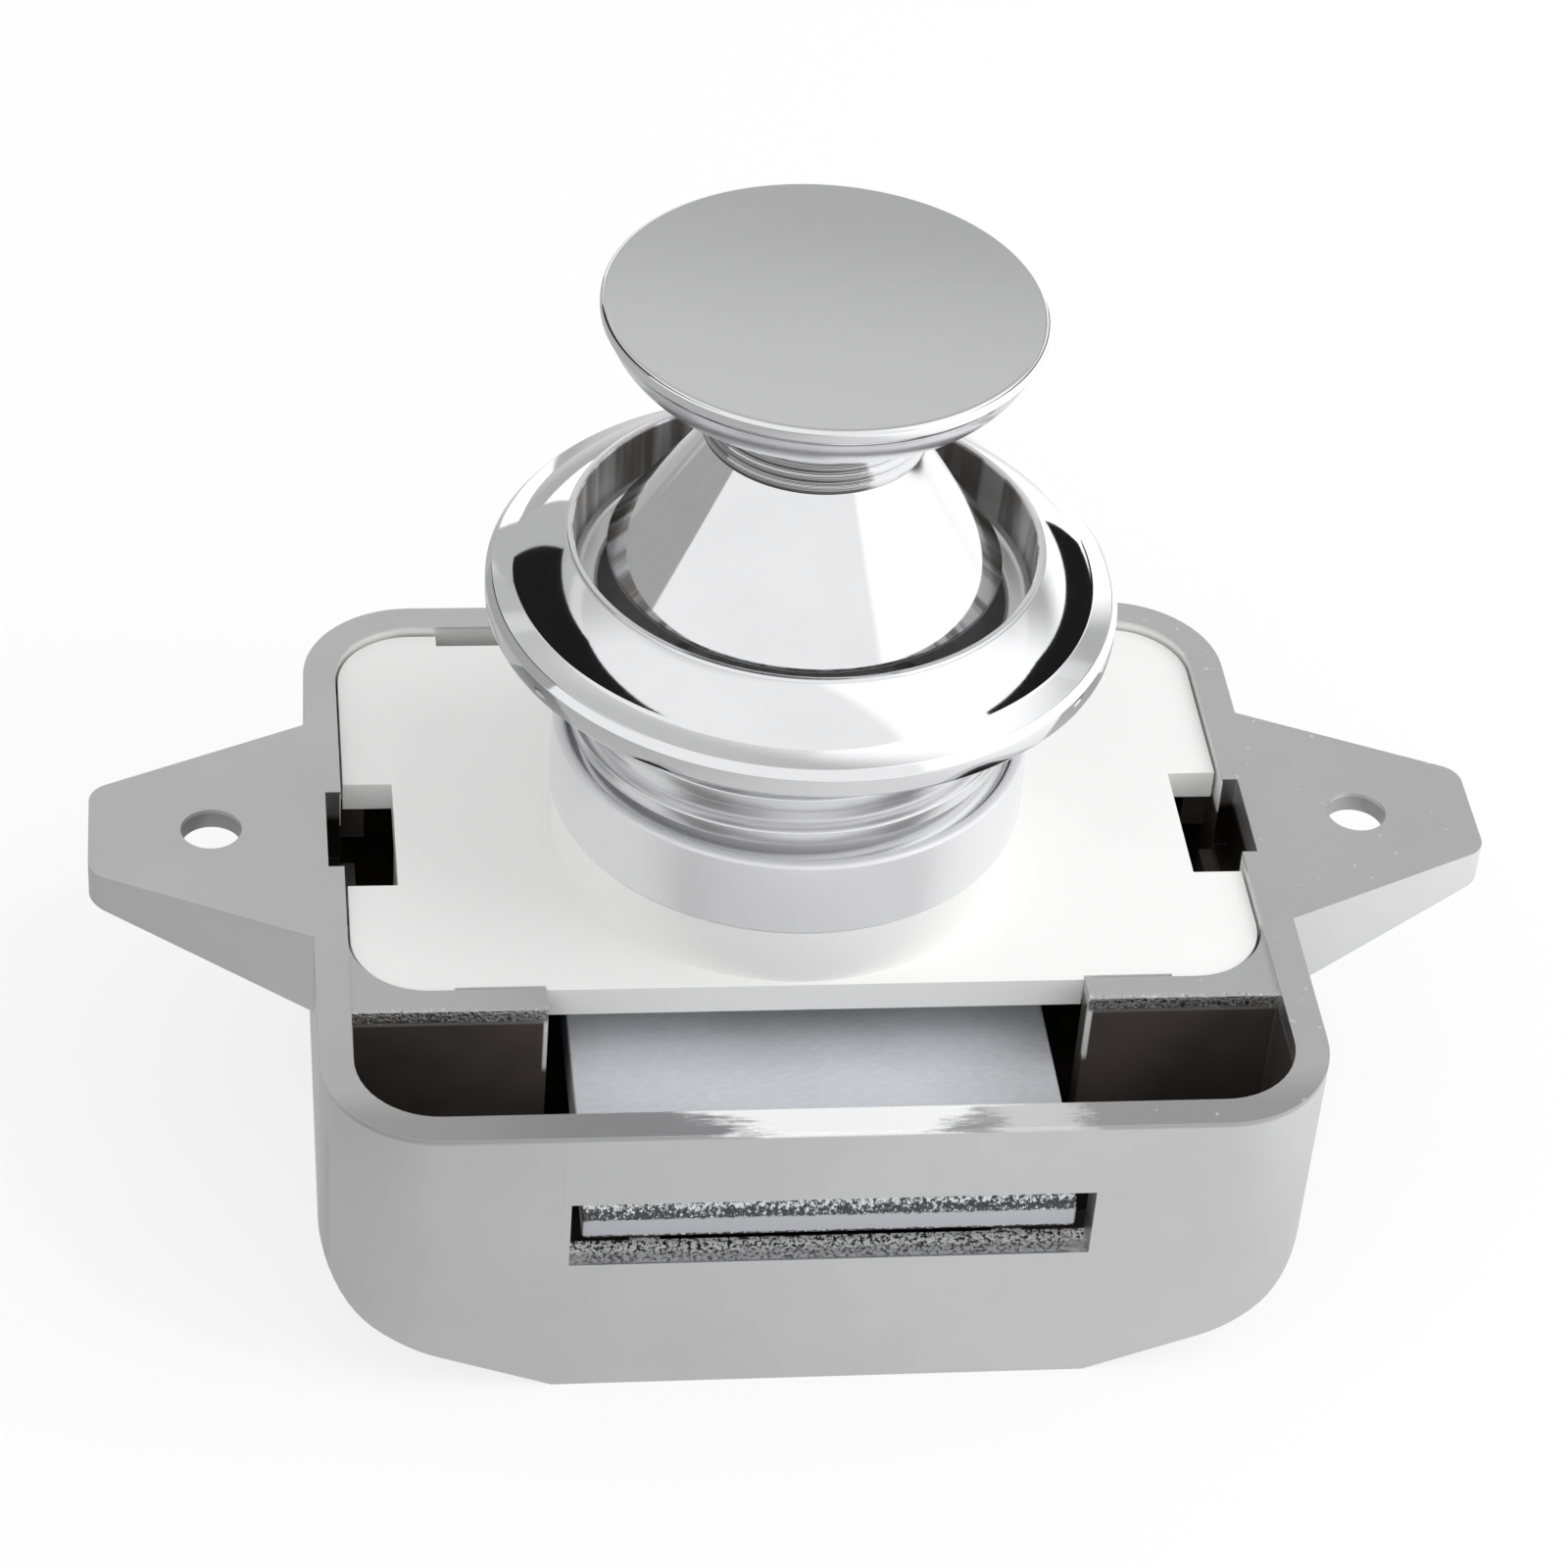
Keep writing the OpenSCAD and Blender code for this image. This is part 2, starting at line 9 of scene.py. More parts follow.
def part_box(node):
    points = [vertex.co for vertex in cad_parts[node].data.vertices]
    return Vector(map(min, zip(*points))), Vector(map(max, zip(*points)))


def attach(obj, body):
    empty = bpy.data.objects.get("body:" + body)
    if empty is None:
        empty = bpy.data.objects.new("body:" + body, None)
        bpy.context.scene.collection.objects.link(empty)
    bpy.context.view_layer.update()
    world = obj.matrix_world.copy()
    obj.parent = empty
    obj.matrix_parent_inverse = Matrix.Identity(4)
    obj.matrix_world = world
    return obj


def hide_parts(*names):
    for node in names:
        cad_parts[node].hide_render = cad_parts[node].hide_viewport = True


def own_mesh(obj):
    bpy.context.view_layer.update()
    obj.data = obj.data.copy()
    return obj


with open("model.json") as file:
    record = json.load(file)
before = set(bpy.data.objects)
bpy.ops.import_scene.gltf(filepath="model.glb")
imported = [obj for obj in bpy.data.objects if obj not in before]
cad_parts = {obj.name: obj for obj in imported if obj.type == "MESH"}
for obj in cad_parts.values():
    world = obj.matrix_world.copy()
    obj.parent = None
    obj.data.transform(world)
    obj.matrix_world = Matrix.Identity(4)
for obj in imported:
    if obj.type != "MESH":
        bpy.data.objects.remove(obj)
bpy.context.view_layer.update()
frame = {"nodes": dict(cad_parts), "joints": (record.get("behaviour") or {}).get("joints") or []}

bl_info = {
    "name": "Pushbutton cabinet lock",
    "version": (1, 0, 0),
    "blender": (4, 2, 0),
    "location": "View3D > Sidebar > Lock",
    "description": "Builds the dressed pushbutton lock, its studio and its camera",
    "category": "Object",
}

MM = 0.001
FULL_TURN = 2 * math.pi
WHITE = (1, 1, 1, 1)

# sizes of the CAD pieces in mm, apart from NECK, which is the middle of the sleeve in metres
NECK = (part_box("neck_sleeve")[0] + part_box("neck_sleeve")[1]) / 2
RIM_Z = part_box("case")[1].z / MM
KNOB_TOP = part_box("push_knob")[1].z / MM
ROSETTE_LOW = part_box("rosette")[0].z / MM
ROSETTE_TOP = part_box("rosette")[1].z / MM
SLEEVE_LOW, SLEEVE_TOP = (c.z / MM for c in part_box("neck_sleeve"))
SLEEVE_R = (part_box("neck_sleeve")[1].x - NECK.x) / MM
FLANGE_R = (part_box("rosette")[1].x - NECK.x) / MM
KNOB_R = (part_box("push_knob")[1].x - NECK.x) / MM
KNOB_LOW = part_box("push_knob")[0].z / MM
FLOOR_Z, CROWN_Z = (c.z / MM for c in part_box("return_spring"))
SPRING_R = (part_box("return_spring")[1].x - NECK.x) / MM

# sizes that follow from them, and the spring's wire
NECK_LOW = KNOB_TOP - 7.75       # foot of the knob's neck
BORE_R = SLEEVE_R - 0.7          # bore of the sleeve
CREST_R = BORE_R - 0.08          # crest of the rosette's thread
RING_WALL = 0.8                  # wall of the rosette under its thread
BOWL_R = KNOB_R + 0.78           # bowl of the rosette
SPRING_WIRE, SPRING_COILS, SPRING_SIDES = 0.7, 13, 12

# places on the case and the bolt that their finishes follow, in mm
INNER_X, INNER_Y = 24.7, 20.45                              # inner faces of the case's walls
FACE_Y = -22.1                                              # just behind its front face
BASE_X, BASE_RISE = 14.3, 0.384                             # end of the flat base, and the slope beyond it
PLATE_Y, PLATE_DROP = -10.4, 1.4                            # front of the cover plate, and how deep it closes the case
RECESS_X, RECESS_Y = (24.6, 25.6), (-0.75, 5.75)            # side recesses in the rim
RIB_X, RIB_Y = (14.2, 24.7), (-12.8, -11.95)                # torn front edges of the cross ribs
CORNER_X, CORNER_Y = (14.3, 14.62), (-12.4, -11.8)          # inner corners of the cross ribs
SLOT_X, SLOT_Y, SLOT_Z = 13.8, (-22.1, -20.3), (8.6, 8.95)  # floor of the bolt slot
LIP_Y, LIP_Z = (-6.6, 20.5), (15.6, 17.85)                  # inner wall over the cover plate
HOLE_X, HOLE_Y, HOLE_SQUARE = 31.8, 2.65, 3.1               # screw hole: its place and its radius squared
PARTING_X, PARTING_Z = (-14.12, -14.0), (8.9, 17.6)         # parting line on the front face
BEVEL_Y, BEVEL_Z = -19.7, 11.1                              # bevel over the bolt's nose
UNDER_Y, UNDER_Z = -20.9, 10.02                             # lower edge of the bolt's nose
NOSE_Y = -20.6                                              # front of the bolt's nose

# studio: panels and curved flags round the lock
PANEL_SIZE = 0.5
FLAG_STEPS = 16
FLAG_LEVEL = Vector((0, 0, 0.036))
BLACK = 0.012
FLAGS = {
    "flag_left": (0.22, (-36, -72), (-1, 15), (24, 37), BLACK),
    "flag_left_front": (0.22, (-72, -120), (15, 38), (37, 41.5), BLACK),
    "card_back": (0.24, (-23, -40), (-9, -4), (16, 28), 0.52),
    "card_left": (0.25, (-27, -85), (-8, -8), (2, 28), 0.41),
    "flag_right": (0.13, (37, 82), (-12, 12), (3, 26), BLACK),
    "flag_right_front": (0.13, (82, 110), (12, 30), (26, 32.5), BLACK),
}


def number(name, default, description, **kind):
    """A number that a user may change."""
    return bpy.props.FloatProperty(name=name, description=description, default=default, **kind)


def length(name, default, description):
    """A size in metres that a user may change."""
    return number(name, default, description, subtype="DISTANCE", unit="LENGTH")


def share(name, default, description):
    """A number from 0 to 1 that a user may change."""
    return number(name, default, description, min=0, max=1, subtype="FACTOR")


def bearing(name, degrees, description):
    """An angle that a user may change."""
    return number(name, math.radians(degrees), description, subtype="ANGLE")


def tint(name, default, description):
    """A colour that a user may change."""
    return bpy.props.FloatVectorProperty(
        name=name, description=description, default=default, subtype="COLOR", min=0, max=1)


class LOCK_PG_finish(bpy.types.PropertyGroup):
    """Colours and finishes of the lock."""
    chrome: tint("Polished chrome", (0.83, 0.83, 0.84), "Colour of the knob, rosette and sleeve")
    satin: tint("Satin chrome", (0.69, 0.69, 0.695), "Colour of the case and its ears")
    plate: tint("White plastic", (0.92, 0.92, 0.915), "Colour of the cover plate and its collar")
    slider: tint("Slider plastic", (0.8, 0.8, 0.78), "Colour of the plunger inside")
    zinc: tint("Plated zinc", (0.76, 0.77, 0.81), "Colour of the latch bolt")
    steel: tint("Steel wire", (0.45, 0.45, 0.47), "Colour of the spring, the follower and the screw")
    satin_rough: share("Satin roughness", 0.36, "Roughness of the case")
    polish: share("Chrome roughness", 0.05, "Roughness of the polished pieces")


class LOCK_PG_sizes(bpy.types.PropertyGroup):
    """Edge roundings, knob, rosette and thread of the dressed pieces."""
    case_edge: length("Case edge", 0.28 * MM, "Rounding of the case's cast edges")
    plate_edge: length("Plate edge", 0.2 * MM, "Rounding of the plate's moulded edges")
    bolt_edge: length("Bolt edge", 0.12 * MM, "Rounding of the bolt's edges")
    knob_edge: length("Knob edge", 0.3 * MM, "Rounding of the edge of the knob's disc")
    knob_band: length("Knob band", 0.8 * MM, "Height of the upright band round the knob's disc")
    dish_height: length("Underside height", 2.2 * MM, "Height of the tapering underside of the disc")
    dish_in: length("Underside draw-in", 1.6 * MM, "How far the underside draws in")
    dish_bow: length("Underside bow", 0.2 * MM, "Bow of the underside over a straight taper")
    neck_radius: length("Neck radius", 5.9 * MM, "Radius of the knob's neck")
    neck_height: length("Neck height", 4.75 * MM, "Height of the knob's neck")
    neck_step: length("Neck step", 0.6 * MM, "How far the skirt's top stands in under the neck")
    flange_edge: length("Flange edge", 1.1 * MM, "Height of the rosette's upright edge")
    flange_bevel: length("Flange bevel", 1.35 * MM, "Width of the bevelled ring inside the flange's edge")
    dome_rise: length("Dome rise", 0.14 * MM, "Rise of the rosette's domed top over a straight slope")
    thread_pitch: length("Thread pitch", 2.2 * MM, "Rise of the rosette's thread in one turn")
    thread_deep: length("Thread depth", 0.5 * MM, "Depth of the rosette's thread")


class LOCK_PG_studio(bpy.types.PropertyGroup):
    """Light of the studio and stand of the camera."""
    floor: tint("Floor", (0.93, 0.93, 0.93), "Colour of the floor")
    ambient: share("Room light", 0.8, "Strength of the even light from all sides")
    key: number("Key light", 1.5, "Power of the large panel on the right", min=0, unit="POWER")
    fill: number("Fill light", 0.45, "Power of the panel in front on the left", min=0, unit="POWER")
    lens: number("Lens", 108.05, "Focal length of the camera", min=10, unit="CAMERA")
    azimuth: bearing("Azimuth", -9.048, "Stand of the camera round the lock")
    elevation: bearing("Elevation", 39.075, "Height of the camera over the lock")
    roll: bearing("Roll", 4.913, "Turn of the camera about its line of sight")
    stand: bpy.props.FloatVectorProperty(
        name="Camera place", description="Where the camera stands", default=(-0.03209, -0.19489, 0.18299),
        subtype="TRANSLATION", unit="LENGTH")


def shade(colour, factor):
    """A colour made darker or lighter, as a node wants it."""
    return (*(min(1.0, c * factor) for c in colour), 1.0)


class Val:
    """A shader socket that takes part in plain arithmetic."""

    def __init__(self, mix, socket):
        self.mix = mix
        self.socket = socket

    def _math(self, operation, a, b):
        return self.mix.add("ShaderNodeMath", {"operation": operation}, {0: a, 1: b})

    def __add__(self, other):
        return self._math("ADD", self, other)

    __radd__ = __add__

    def __mul__(self, other):
        return self._math("MULTIPLY", self, other)

    __rmul__ = __mul__

    def __sub__(self, other):
        return self._math("SUBTRACT", self, other)

    def __rsub__(self, other):
        return self._math("SUBTRACT", other, self)

    def __abs__(self):
        return self._math("ABSOLUTE", self, 0.0)

    def squared(self, other):
        """The sum of the squares of two values."""
        return self * self + other * other

    def over(self, edge, soft):
        """1 where the value is above the edge, with a soft step."""
        return self.mix.add("ShaderNodeMapRange", {"interpolation_type": "SMOOTHSTEP"},
                            {"Value": self, "From Min": edge - soft, "From Max": edge + soft}, "Result")

    def under(self, edge, soft):
        """1 where the value is below the edge, with a soft step."""
        return 1 - self.over(edge, soft)

    def within(self, low, high, soft):
        """1 between two values, with soft steps."""
        return self.over(low, soft) * self.under(high, soft)


class Mixture:
    """A node tree of a material or a world, built one node at a time."""

    def __init__(self, tree):
        self.tree = tree
        tree.nodes.clear()

    def add(self, kind, settings=None, sockets=None, out=0):
        """Adds a node: settings first, then the values or links of its sockets."""
        node = self.tree.nodes.new(kind)
        for key, value in (settings or {}).items():
            setattr(node, key, value)
        for key, value in (sockets or {}).items():
            socket = node.inputs[key]
            if isinstance(value, Val):
                self.tree.links.new(value.socket, socket)
            else:
                socket.default_value = value
        return Val(self, node.outputs[out]) if node.outputs else None

    def place(self, scale):
        """Object coordinates, scaled along each axis."""
        where = self.add("ShaderNodeTexCoord", out="Object")
        return self.add("ShaderNodeMapping", None, {"Vector": where, "Scale": scale})

    def split(self, output):
        """The three parts of one output of the texture coordinates."""
        where = self.add("ShaderNodeTexCoord", out=output)
        parts = self.tree.nodes.new("ShaderNodeSeparateXYZ")
        self.tree.links.new(where.socket, parts.inputs[0])
        return [Val(self, parts.outputs[i]) for i in range(3)]

    def axes(self):
        """The three object coordinates in millimetres."""
        return [part * 1000.0 for part in self.split("Object")]

    def rays(self):
        """1 for rays from the camera, and 1 for rays off glossy surfaces."""
        return [self.add("ShaderNodeLightPath", out=kind) for kind in ("Is Camera Ray", "Is Glossy Ray")]

    def noise(self, size_mm, detail=3.0, rough=0.55, vector=None):
        """Noise whose grain has the given size, from 0 to 1."""
        sockets = {"Scale": 1.0 / (size_mm * MM), "Detail": detail, "Roughness": rough,
                   "Vector": vector or self.add("ShaderNodeTexCoord", out="Object")}
        return self.add("ShaderNodeTexNoise", None, sockets, "Fac")

    def rings(self, height, detail):
        """Noise that changes with the height alone, as turning marks do."""
        return self.add("ShaderNodeTexNoise", {"noise_dimensions": "1D"}, {"W": height, "Detail": detail}, "Fac")

    def blend(self, mask, a, b):
        """One colour where the mask is 0 and another where it is 1."""
        return self.add("ShaderNodeMix", {"data_type": "RGBA"}, {0: mask, 6: a, 7: b}, 2)

    def vary(self, mask, colour, low, high):
        """A colour times one factor where the mask is 0 and times another where it is 1."""
        return self.blend(mask, shade(colour, low), shade(colour, high))

    def bump(self, height, deep_mm, strength):
        """A normal from a height that runs from 0 to 1."""
        return self.add("ShaderNodeBump", None, {"Height": height, "Distance": deep_mm * MM, "Strength": strength})

    def close(self, surface):
        """Ends a material's tree with a surface."""
        self.add("ShaderNodeOutputMaterial", None, {"Surface": surface})

    def finish(self, **sockets):
        """Ends a material's tree with one principled surface."""
        named = {key.replace("_", " ").title().replace("Ior", "IOR"): value for key, value in sockets.items()}
        self.close(self.add("ShaderNodeBsdfPrincipled", None, named))


def material(name):
    """A new material and its empty tree."""
    made = bpy.data.materials.new(name)
    made.use_nodes = True
    return made, Mixture(made.node_tree)


def sleeve_chrome(look):
    """Thin, dull chrome of the neck sleeve, with faint turning marks round the neck."""
    made, mix = material("sleeve_chrome")
    z = mix.axes()[2]
    smear = mix.noise(5.0, 4.0)
    fine = mix.noise(0.35, 2.0)
    rough = smear * 0.035 + fine * 0.02 + (look.polish + 0.28)
    height = mix.rings(z * 9.0, 2.0) * 0.6 + fine * 0.4
    mix.finish(base_color=mix.vary(smear, look.chrome, 0.97, 1.03), metallic=0.24, roughness=rough,
               normal=mix.bump(height, 0.004, 0.25))
    return made


def rosette_chrome(look):
    """Chrome of the rosette: mirror flange and dome, dulled inside its bowl and on its thread, with painted shade on
    the bowl's wall broken by light stripes of painted reflection.
    """
    made, mix = material("rosette_chrome")
    x, y, z = mix.axes()
    smear = mix.noise(5.0, 4.0)
    fine = mix.noise(0.35, 2.0)
    painted_streaks = mix.noise(1.3, 2.0, vector=mix.place((1, 1, 0.06))).over(0.5, 0.12)
    inner = (x - NECK.x / MM).squared(y - NECK.y / MM).under((BOWL_R + 0.08) ** 2, 0.8)
    wall = inner * z.over(ROSETTE_TOP - 2.9, 0.1)
    colour = mix.vary(smear, look.chrome, 0.97, 1.03)
    # painted shade on the wall of the bowl, broken by light stripes of painted reflection
    colour = mix.blend(wall * (1 - painted_streaks), colour, (0.3, 0.29, 0.27, 1))
    rough = smear * 0.035 + fine * 0.02 + (look.polish - 0.02) + inner * 0.2
    mix.finish(base_color=colour, metallic=1 - 0.25 * inner, roughness=rough,
               normal=mix.bump(smear * 0.5 + fine * 0.5, 0.004, 0.25))
    return made


def knob_chrome(look):
    """Chrome of the knob: mirror sides, satin top face, painted dark reflection lines on the neck with a painted shadow
    line at its foot, and a soft underside of the disc.
    """
    made, mix = material("knob_chrome")
    x, _, z = mix.axes()
    top = z.over(KNOB_TOP - 0.06, 0.04)
    under = z.within(KNOB_TOP - 3.2, KNOB_TOP - 0.9, 0.1)
    smear = mix.noise(6.0, 4.0)
    fine = mix.noise(0.12, 2.0)
    brushed = mix.noise(0.5, 3.0, vector=mix.place((0.02, 1, 1)))
    # painted dark reflection lines round the neck and a painted shadow line at its foot, both fading out to the right
    neck = z.within(NECK_LOW, NECK_LOW + 3.2, 0.05)
    lines = neck * mix.rings(z * 4.2, 3.0).over(0.46, 0.06) * (1 - 0.8 * (x + brushed * 1.5).over(2.2, 0.25))
    foot = z.within(NECK_LOW - 0.3, NECK_LOW + 0.2, 0.05) * x.under(1.6, 0.6)
    colour = mix.vary(smear, look.chrome, 0.97, 1.03)
    # near-black painted reflection lines and painted shadow line
    colour = mix.blend(lines * 0.9 + foot * (1 - lines) * 0.9, colour, shade(look.chrome, 0.07))
    colour = mix.blend(top, colour, mix.vary(smear, look.chrome, 0.91, 0.93))
    rough = (1 - top) * (smear * 0.03 + (look.polish - 0.01) + under * 0.2)
    rough = rough + top * (0.06 + 0.02 * fine + 0.02 * smear)
    height = top * (brushed * 0.6 + fine * 0.4) + (1 - top) * smear * 0.3
    mix.finish(base_color=colour, metallic=1.0, roughness=rough, normal=mix.bump(height, 0.004, 0.2))
    return made


def satin_chrome(look):
    """Satin chrome over a die casting: dull inside under painted dark shade, crumbly where flash was sheared off with
    painted glints and shade among the crumbs, and worn on the front rim, with a painted highlight on the worn patch and
    painted shade beside it.
    """
    made, mix = material("satin_chrome")
    x, y, z = mix.axes()
    side = abs(x)
    cloud = mix.noise(9.0, 3.0)
    grain = mix.noise(0.09, 2.0)
    orange = mix.noise(0.9, 3.0)
    ragged = mix.noise(0.35, 4.0, 0.7) - 0.5
    crumbs = mix.noise(0.24, 3.0, 0.75).over(0.47, 0.05)
    # painted dark shade inside the pockets, the case and the recesses in the rim, where the plating is also dull
    across, along, up = mix.split("Normal")
    ceiling = z + PLATE_DROP * y.over(PLATE_Y, 0.1)
    slope = side - BASE_X
    over_base = z - (abs(slope) + slope) * (BASE_RISE / 2)
    walls = ((across * x + along * y) * 0.05 - up).under(0.0, 0.1)
    ribs = side.under(INNER_X - 0.1, 0.05) * abs(y).under(INNER_Y - 0.15, 0.05)
    ribs = ribs * over_base.over(0.6, 0.2) * up.over(-0.1, 0.05)
    inside = walls + ribs * (1 - walls)
    inside = inside * side.under(INNER_X + 0.05, 0.02) * abs(y).under(INNER_Y + 0.05, 0.02)
    inside = inside * ceiling.under(RIM_Z - 1.15, 0.2)
    recess = side.within(*RECESS_X, 0.03) * y.within(*RECESS_Y, 0.05) * z.under(RIM_Z - 1.8, 0.3)
    # torn top edges of the two cross ribs, with painted glints on their crumbs and painted shade between them, and a
    # painted highlight line down their inner corners
    torn_z = z + ragged * 1.1
    rib = side.within(*RIB_X, 0.05) * y.within(*RIB_Y, 0.05) * torn_z.within(RIM_Z - 0.95, RIM_Z - 0.38, 0.06)
    corner_highlight = side.within(*CORNER_X, 0.05) * y.within(*CORNER_Y, 0.1) * z.within(RIM_Z - 4.5, RIM_Z - 0.4, 0.3)
    # sheared floor of the bolt slot, clean towards its lower lip, with painted shade over the floor and painted glints
    # and deeper painted shade among the crumbs of its sheared part
    floor = side.under(SLOT_X, 0.05) * y.within(*SLOT_Y, 0.05) * z.within(*SLOT_Z, 0.04)
    slot = floor * (y + ragged * 1.2).over(-21.3, 0.3)
    torn = rib + slot
    # inner wall over the cover plate, painted light as if lit by the white plastic
    lip = walls * side.under(INNER_X + 0.05, 0.03) * y.within(*LIP_Y, 0.3) * z.within(*LIP_Z, 0.1)
    # painted shade on the walls of the screw holes
    hole = (side - HOLE_X).squared(y - HOLE_Y).under(HOLE_SQUARE, 0.2) * z.under(RIM_Z - 0.25, 0.1)
    # faint parting line down the front face
    parting = x.within(*PARTING_X, 0.04) * y.under(FACE_Y, 0.05) * z.within(*PARTING_Z, 0.1)
    # painted shade on the front rim, and in its middle a worn bright patch with a painted highlight, fading to brushed
    # on its right
    rim = z.over(RIM_Z - 0.3, 0.1)
    front_rim_shade = rim * y.under(-19.4, 1.6)
    outwards = (y + INNER_Y) * -0.9
    brush = mix.noise(0.4, 4.0, 0.7, mix.place((0.12, 1, 1))) - 0.5
    rubbed_highlight = (abs(x - 0.3) + outwards * 1.7 + ragged * 1.2 + brush * 9.0).under(7.6, 1.3)
    rubbed_highlight = rubbed_highlight + 0.5 * (x + ragged * 2.0 + brush * 5.0).within(8.0, 12.6, 0.8) * (1 - rubbed_highlight)
    rubbed_highlight = rubbed_highlight * rim * y.under(0.05 - INNER_Y, 0.05)
    # bright specks on the right of the rim and on the right ear
    specks = mix.noise(0.55, 1.0).over(0.745, 0.015) * z.over(RIM_Z - 0.4, 0.1) * x.over(15.0, 8.0)
    # dark, brownish painted shade for the inside of the case and the recesses
    painted_shade = mix.blend(cloud.over(0.5, 0.2), (0.04, 0.033, 0.029, 1), (0.1, 0.08, 0.07, 1))
    colour = mix.vary(cloud, look.satin, 0.92, 1.08)
    # painted shade on the front rim
    colour = mix.blend(front_rim_shade * 0.6, colour, shade(look.satin, 0.55))
    # painted dark shade inside the case and in the recesses
    colour = mix.blend((inside + recess) * 0.97, colour, painted_shade)
    # painted shade in the screw holes
    colour = mix.blend(hole * 0.6, colour, shade(look.satin, 0.3))
    # painted light on the inner wall over the cover plate
    colour = mix.blend(lip, colour, (0.93, 0.93, 0.92, 1))
    # painted shade on the floor of the bolt slot
    colour = mix.blend(floor, colour, shade(look.satin, 0.72))
    # painted glints on the torn crumbs, a painted highlight down the rib corners, and bright specks
    colour = mix.blend(torn * crumbs + corner_highlight + specks * 0.6, colour, WHITE)
    # painted shade between the crumbs on the rib edges and in the slot
    colour = mix.blend((rib * 0.75 + slot * 0.85) * (1 - crumbs), colour, shade(look.satin, 0.06))
    # painted highlight on the worn patch of the front rim
    colour = mix.blend(rubbed_highlight, colour, (0.97, 0.97, 0.97, 1))
    plating = 1 - rubbed_highlight * 0.8 - inside * 0.75 - (lip + floor * crumbs) * 0.8
    rough = grain * 0.07 + cloud * 0.05 + (look.satin_rough - 0.06) - rubbed_highlight * 0.1
    height = grain * 0.35 + orange * 0.65 + parting * 3.0 + torn * crumbs * 9.0
    mix.finish(base_color=colour, metallic=plating, roughness=rough, normal=mix.bump(height, 0.008, 0.5))
    return made


def white_plastic(look):
    """Glossy white moulding with a faint flow texture."""
    made, mix = material("white_plastic")
    flow = mix.noise(7.0, 3.0)
    fine = mix.noise(0.25, 2.0)
    mix.finish(base_color=mix.vary(flow, look.plate, 0.985, 1.01), roughness=flow * 0.06 + fine * 0.03 + 0.2, ior=1.49,
               normal=mix.bump(fine * 0.5 + flow * 0.5, 0.006, 0.3))
    return made


def plated_zinc(look):
    """Plated zinc of the bolt: frosty satin faces under painted light and shade, painted shade on the nose face, and
    crumbly where the nose was sheared, with painted glints and shade among the crumbs.
    """
    made, mix = material("plated_zinc")
    x, y, z = mix.axes()
    cloud = mix.noise(4.0, 4.0)
    grain = mix.noise(0.1, 2.0)
    mottle = mix.noise(0.3, 4.0, 0.7, mix.place((0.5, 1, 1)))
    ragged = mix.noise(0.3, 3.0, 0.7) - 0.5
    # sheared bevel over the nose and sheared edge under it, with painted glints on the crumbs, more of them higher up,
    # and painted shade between them
    crumbs = (mix.noise(0.2, 3.0, 0.75) + 0.1 * z.over(11.5, 0.15)).over(0.575, 0.06)
    bevel = y.under(BEVEL_Y, 0.03) * (z + ragged * 0.5).over(BEVEL_Z, 0.06)
    edge = y.under(UNDER_Y, 0.03) * (z + ragged * 0.3).under(UNDER_Z, 0.04)
    sheared = bevel + edge
    # frosty mottle, with painted light in the middle of the front and at the back, where the cover plate shades it, and
    # painted shade on the right
    front = y.under(-15.5, 3.5) * x.within(-8.5, 9.5, 4.0)
    back = y.over(-14.5, 3.0)
    frost_and_light = cloud * 0.3 + mottle * 0.55 + front * 0.15 + back * 0.45 - 0.3 * x.over(9.0, 4.0) - 0.1
    nose = y.under(NOSE_Y, 0.3)
    colour = mix.vary(frost_and_light, look.zinc, 0.62, 1.16)
    # painted shade on the upright face of the nose
    colour = mix.blend(nose, colour, shade(look.zinc, 0.8))
    # painted glints on the sheared crumbs
    colour = mix.blend(sheared * crumbs, colour, shade(look.zinc, 1.25))
    # painted shade between the sheared crumbs
    colour = mix.blend(sheared * (1 - crumbs) * 0.92, colour, shade(look.zinc, 0.06))
    plating = (0.25 + 0.6 * nose) * (1 - sheared) + sheared
    height = grain * 0.4 + cloud * 0.6 + sheared * crumbs * 8.0
    mix.finish(base_color=colour, metallic=plating, roughness=grain * 0.08 + cloud * 0.06 + 0.42,
               normal=mix.bump(height, 0.01, 0.5))
    return made


def slider_plastic(look):
    """Plain slider plastic with a matt moulded grain."""
    made, mix = material("slider_plastic")
    flow = mix.noise(3.0, 3.0)
    grain = mix.noise(0.15, 2.0)
    mix.finish(base_color=mix.vary(flow, look.slider, 0.95, 1.03), roughness=grain * 0.12 + 0.4,
               normal=mix.bump(grain, 0.01, 0.4))
    return made


def drawn_wire(name, look, factor):
    """Drawn steel wire with draw lines and a dull oil film."""
    made, mix = material(name)
    film = mix.noise(1.6, 4.0)
    lines = mix.noise(0.08, 2.0, vector=mix.place((1, 1, 0.1)))
    mix.finish(base_color=mix.vary(film, look.steel, 0.8 * factor, 1.15 * factor), metallic=1.0,
               roughness=film * 0.15 + lines * 0.1 + 0.22, normal=mix.bump(lines, 0.006, 0.4))
    return made


def deselect():
    """Leaves edit mode and selects nothing."""
    if bpy.context.mode != "OBJECT":
        bpy.ops.object.mode_set(mode="OBJECT")
    bpy.ops.object.select_all(action="DESELECT")


def pick(obj):
    """Leaves edit mode and selects one object alone."""
    deselect()
    obj.select_set(True)
    bpy.context.view_layer.objects.active = obj


def edit(obj):
    """Opens one object alone in edit mode, all selected."""
    pick(obj)
    bpy.ops.object.mode_set(mode="EDIT")
    bpy.ops.mesh.select_all(action="SELECT")


